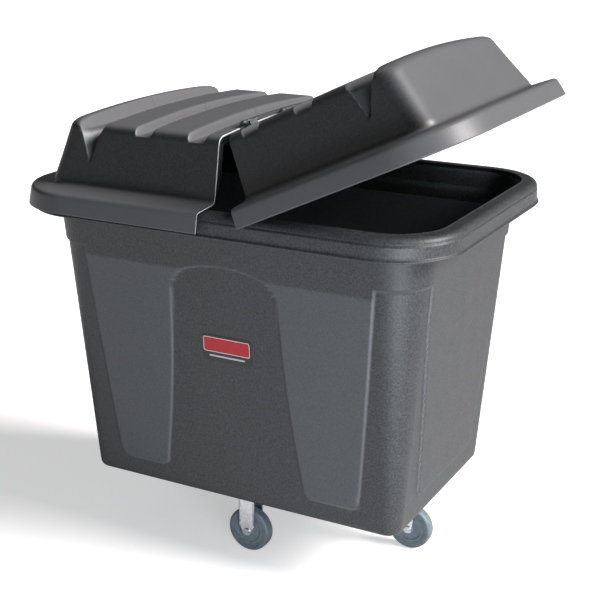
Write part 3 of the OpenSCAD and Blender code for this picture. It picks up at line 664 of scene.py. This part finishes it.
# %% lid thickness and flange
def lid_mesh():
    """Outer skin, an inner skin a wall thickness behind it, the hem between them, and the
    flange at the seam: a flat band from the outer edge inwards, a wall thickness deep. Also
    says which faces carry the painted highlight, the band's outer few millimetres."""
    rows, cols = outer.shape[:2]
    inner = outer - normals * LID_T
    seam_ends = np.array([0, cols - 1])
    inner[:, seam_ends, 0] = outer[:, seam_ends, 0]
    points = np.concatenate([outer.reshape(-1, 3), inner.reshape(-1, 3)])
    faces = grid_faces(rows, cols)
    count = rows * cols
    back = faces[:, ::-1] + count
    j = np.arange(cols - 1)
    hem = np.stack([j + 1, j, j + count, j + 1 + count], 1)
    all_faces = np.concatenate([faces, back, hem])
    highlight_faces = np.zeros(len(all_faces), np.int32)
    for side in (0, cols - 1):
        line = outer[:, side].copy()
        tangent = np.gradient(line, axis=0)
        inward = np.stack([np.zeros(rows), -tangent[:, 2], tangent[:, 1]], 1)
        inward *= np.sign((inward * -normals[:, side]).sum(1))[:, None]
        inward /= np.maximum(np.linalg.norm(inward, axis=1, keepdims=True), 1e-9)
        up = step((line[:, 2] - SHELF_Z - 4) / 56)
        on_skirt = step((SHELF_Z - 8 - line[:, 2]) / 10)
        deep = (4.6 + 4.4 * on_skirt + 18 * up)[:, None]
        target = line + inward * deep
        target[:, 0] = line[:, 0]
        edge = line + inward * (1.5 + 2.5 * up[:, None])
        band = np.stack([line - [0.6, 0, 0], edge - [0.6, 0, 0], edge, target,
                         target + [LID_T, 0, 0], line + [LID_T, 0, 0] + inward * 0.5], 1)
        start, wide = len(points), band.shape[1]
        points = np.concatenate([points, band.reshape(-1, 3)])
        strip = grid_faces(rows, wide, closed=True) + start
        if side == 0:
            strip = strip[:, ::-1]
        ends = np.array([range(4), [0, 3, 4, 5]]) + start
        all_faces = np.concatenate([all_faces, strip, ends if side else ends[:, ::-1]])
        highlight_faces = np.concatenate([highlight_faces, np.arange(len(strip)) % wide < 2, [0, 0]])
    return points, all_faces, highlight_faces


lid_points, lid_faces, lid_highlight_faces = lid_mesh()


def turned(points, degrees):
    """Points turned about the hinge line, which runs along Y at the hinge height: positive
    lifts the +X side."""
    a = math.radians(degrees)
    x, z = points[:, 0], points[:, 2] - HINGE_Z
    return np.stack([x * math.cos(a) - z * math.sin(a), points[:, 1],
                     HINGE_Z + x * math.sin(a) + z * math.cos(a)], 1)


fixed = make_piece("fixed_lid_shell", lid_points * [-1, 1, 1], lid_faces[:, ::-1], "truck",
                   lid_plastic, ["fixed_lid"])
hinged = make_piece("hinged_lid_shell", turned(lid_points, OPEN), lid_faces, "lid", lid_plastic,
                    ["hinged_lid"])
# painted light: faces turned up or towards the ends, and the shelf and skirt rows, are painted
# paler
up_or_end = step((0.93 - np.abs(normals[..., 1])) / 0.5)
low = 0.75 * step((SHELF_Z + 14 - outer[..., 2]) / 12)
painted_light_mask = np.zeros(len(lid_points), np.float32)
painted_light_mask[:outer.shape[0] * outer.shape[1]] = np.maximum(up_or_end, low).reshape(-1)
for half in (fixed, hinged):
    half.data.attributes.new("painted_light_mask", "FLOAT", "POINT").data.foreach_set("value", painted_light_mask)
    # painted highlight: the seam flange's outer faces take the near-white material
    half.data.materials.append(seam_edge_highlight)
    half.data.polygons.foreach_set("material_index", lid_highlight_faces.astype(np.int32))

# %% [markdown]
# ## CAD parts that stay
# Forks, plates, bolts, hubs, tyres and hinges have their true shape already. They get their
# finish and a small rounded edge, which is what catches the light on pressed steel. Their
# triangles are loose, so a weld comes before the bevel.
# %% finishes and edges
def finish_for(node):
    if node.endswith("tyre"):
        return rubber, 0.0006
    if node.endswith("hub"):
        return hub_plastic, 0.0006
    if node.endswith("bush"):
        return nylon, 0.0002
    if "leaf" in node or "leaves" in node or node == "hinge_pins":
        return black_steel, 0.0003
    if node.endswith(("fork", "plate", "race")):
        return zinc, 0.0005
    if node == "label":
        return label_film, 0.0003
    return bolt, 0.0003


for name, node in nodes.items():
    if name in ("tub", "fixed_lid", "hinged_lid"):
        continue
    material, width = finish_for(name)
    node.data.materials.clear()
    node.data.materials.append(material)
    weld = node.modifiers.new("weld", "WELD")
    weld.merge_threshold = 0.00001
    bevel = node.modifiers.new("edge", "BEVEL")
    bevel.width, bevel.segments, bevel.limit_method = width, 2, "ANGLE"
    bevel.angle_limit = math.radians(35)
    bevel.harden_normals = True
print("finished", len(nodes) - 3, "CAD parts")

# %% [markdown]
# ## Studio
# A pale floor under a pale sky, one soft sun from the upper right that keeps the floor even
# out to the horizon, and a low fill at the front right. The floor gives the walls less
# diffuse light than its paint would, so that the long side stays dark.
# %% floor, world, lights and camera
FLOOR_Z = float(min(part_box(c + "_tyre")[0][2] for c in ("front", "back", "left", "right")))


def painted_floor(name, seen_code, bounce_code):
    material, tree, shader = new_material(name)
    path = add(tree, "ShaderNodeLightPath")
    seen = path.outputs["Is Camera Ray"]
    shown = math_node(tree, "SUBTRACT", 1.0, path.outputs["Is Diffuse Ray"])
    tone = math_node(tree, "MULTIPLY", noise(tree, 400, 2), 0.04)
    paint = mix_colour(tree, tone, srgb(seen_code), srgb("#eeeeef"))
    tree.links.new(mix_colour(tree, shown, srgb(bounce_code), paint), shader.inputs["Base Color"])
    shader.inputs["Roughness"].default_value = 1.0
    shader.inputs["Specular IOR Level"].default_value = 0.0
    shader.inputs["Emission Color"].default_value = (1, 1, 1, 1)
    tree.links.new(math_node(tree, "MULTIPLY", seen, 0.45), shader.inputs["Emission Strength"])
    return material


floor_mesh = bpy.data.meshes.new("studio_floor")
FLOOR_HALF = 30
floor_mesh.from_pydata([(x * FLOOR_HALF, y * FLOOR_HALF, FLOOR_Z)
                        for x, y in ((-1, -1), (1, -1), (1, 1), (-1, 1))], [], [(0, 1, 2, 3)])
studio_floor = bpy.data.objects.new("studio_floor", floor_mesh)
bpy.context.scene.collection.objects.link(studio_floor)
floor_mesh.materials.append(painted_floor("painted_studio_floor", "#fdfdfd", "#6e7276"))

world = bpy.context.scene.world or bpy.data.worlds.new("studio")
bpy.context.scene.world = world
world.use_nodes = True
sky = world.node_tree
background = sky.nodes["Background"]
seen = add(sky, "ShaderNodeLightPath").outputs["Is Camera Ray"]
strength = math_node(sky, "MULTIPLY_ADD", seen, 0.88, 0.12)
background.inputs["Color"].default_value = (1, 1, 1, 1)
sky.links.new(strength, background.inputs["Strength"])


def light(name, kind, place, target, power, **settings):
    data = bpy.data.lights.new(name, kind)
    data.energy = power
    for key, value in settings.items():
        setattr(data, key, value)
    lamp = bpy.data.objects.new(name, data)
    lamp.location = place
    lamp.rotation_euler = (Vector(target) - Vector(place)).to_track_quat("-Z", "Y").to_euler()
    bpy.context.scene.collection.objects.link(lamp)


light("sun", "SUN", (3.03, 0.5, 2.0), (0, 0, 0), 5.9, angle=math.radians(24),
      color=srgb("#fffaf8")[:3])
light("low_fill", "AREA", (1.7, -1.9, 0.25), (0.1, -0.2, 0.3), 40, shape="RECTANGLE", size=1.2,
      size_y=0.6, color=srgb("#f0f6ff")[:3])

camera_data = bpy.data.cameras.new("camera")
camera_data.lens, camera_data.sensor_width = 77.84, 36.0
camera_data.clip_end = 200
camera = bpy.data.objects.new("camera", camera_data)
camera.location = (1.4704, -2.6982, 1.4537)
camera.rotation_euler = (math.radians(90 - 18.0), 0, math.radians(28.3))
bpy.context.scene.collection.objects.link(camera)
bpy.context.scene.camera = camera
bpy.context.scene.view_settings.view_transform = "Standard"
